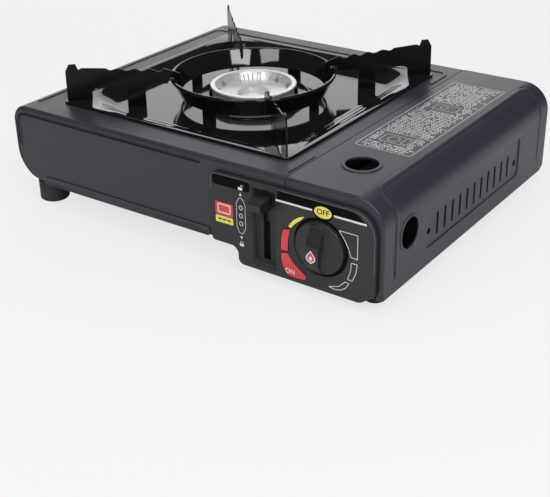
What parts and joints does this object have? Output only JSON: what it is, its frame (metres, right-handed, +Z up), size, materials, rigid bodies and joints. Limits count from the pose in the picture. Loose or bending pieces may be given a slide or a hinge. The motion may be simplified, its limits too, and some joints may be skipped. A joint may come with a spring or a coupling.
{
  "type": "butane cassette stove",
  "caption": "Tabletop gas stove with a hinged cartridge cover, lock lever, gas knob, lift-out drip tray and pan support over a slotted burner.",
  "frame": {"origin": "on the table, under the middle of the stove's bounding box", "axes": "+Z up, front with the knob and lever towards -Y, cartridge bay on the +X side"},
  "size_m": [0.3446, 0.2855, 0.1135],
  "materials": {
    "casing_paint": "satin dark slate baked paint",
    "enamel": "gloss black vitreous enamel",
    "panel_plastic": "matte moulded plastic",
    "knob_plastic": "fine matte moulded plastic",
    "foot_plastic": "matte",
    "burner_alloy": "bright machined",
    "cast_alloy": "as cast",
    "pipe_alloy": "drawn tube",
    "brass": "turned",
    "plain_steel": "zinc plated",
    "black_steel": "satin black coated steel",
    "rubber": "matte",
    "ceramic": "glazed ceramic",
    "igniter_plastic": "moulded"
  },
  "bodies": {
    "base": {"base_hinge": "plain_steel", "bay_front_wall": "plain_steel", "bay_rear_wall": "plain_steel", "bottom_plate": "casing_paint", "bracket_screws": "plain_steel", "burner_body": "cast_alloy", "burner_bracket": "plain_steel", "burner_core": "burner_alloy", "burner_head": "burner_alloy", "cartridge_cradle": "plain_steel", "collar_plate": "plain_steel", "control_panel": "panel_plastic", "diaphragm_cover": "cast_alloy", "electrode_bracket": "plain_steel", "electrode_insulator": "ceramic", "foot_front_left": "foot_plastic", "foot_front_right": "foot_plastic", "foot_rear_left": "foot_plastic", "foot_rear_right": "foot_plastic", "foot_screws": "plain_steel", "gas_jet": "brass", "gas_pipe": "pipe_alloy", "hinge_pin": "plain_steel", "ignition_lead": "rubber", "inlet_seal": "rubber", "jet_holder": "plain_steel", "lever_keeper": "plain_steel", "lever_rail": "plain_steel", "main_casing": "casing_paint", "partition_wall": "plain_steel", "piezo_igniter": "igniter_plastic", "pusher_guides": "plain_steel", "regulator_body": "cast_alloy", "regulator_nozzle": "brass", "regulator_screws": "plain_steel", "spark_electrode": "plain_steel"},
    "lid": {"lid": "casing_paint", "lid_hinge": "plain_steel"},
    "lever": {"lock_lever": "knob_plastic", "lever_slide": "black_steel"},
    "pusher": {"cartridge_pusher": "plain_steel", "pusher_pin": "plain_steel"},
    "knob": {"knob": "knob_plastic", "valve_shaft": "plain_steel"},
    "tray": {"drip_tray": "enamel"},
    "pan_support": {"support_ring": "enamel", "wing_front_left": "enamel", "wing_front_right": "enamel", "wing_rear_left": "enamel", "wing_rear_right": "enamel"}
  },
  "joints": [
    {"name": "lid_hinge", "type": "hinge", "parent": "base", "child": "lid", "pos_m": [0.1265, 0.139, 0.075], "axis": [-1, 0, 0], "range_deg": [0, 95]},
    {"name": "lever_slide", "type": "slide", "parent": "base", "child": "lever", "axis": [0, 0, -1], "range_m": [0, 0.031]},
    {"name": "pusher_slide", "type": "slide", "parent": "base", "child": "pusher", "axis": [0, -1, 0], "range_m": [0, 0.00775]},
    {"name": "knob_turn", "type": "hinge", "parent": "base", "child": "knob", "pos_m": [0.1252, -0.13, 0.0392], "axis": [0, -1, 0], "range_deg": [0, 135]},
    {"name": "tray_lift", "type": "slide", "parent": "base", "child": "tray", "axis": [0, 0, 1], "range_m": [0, 0.06]},
    {"name": "pan_support_lift", "type": "slide", "parent": "tray", "child": "pan_support", "axis": [0, 0, 1], "range_m": [0, 0.06]}
  ],
  "couplings": [
    {"joint": "pusher_slide", "follows": "lever_slide", "ratio": 0.25}
  ]
}
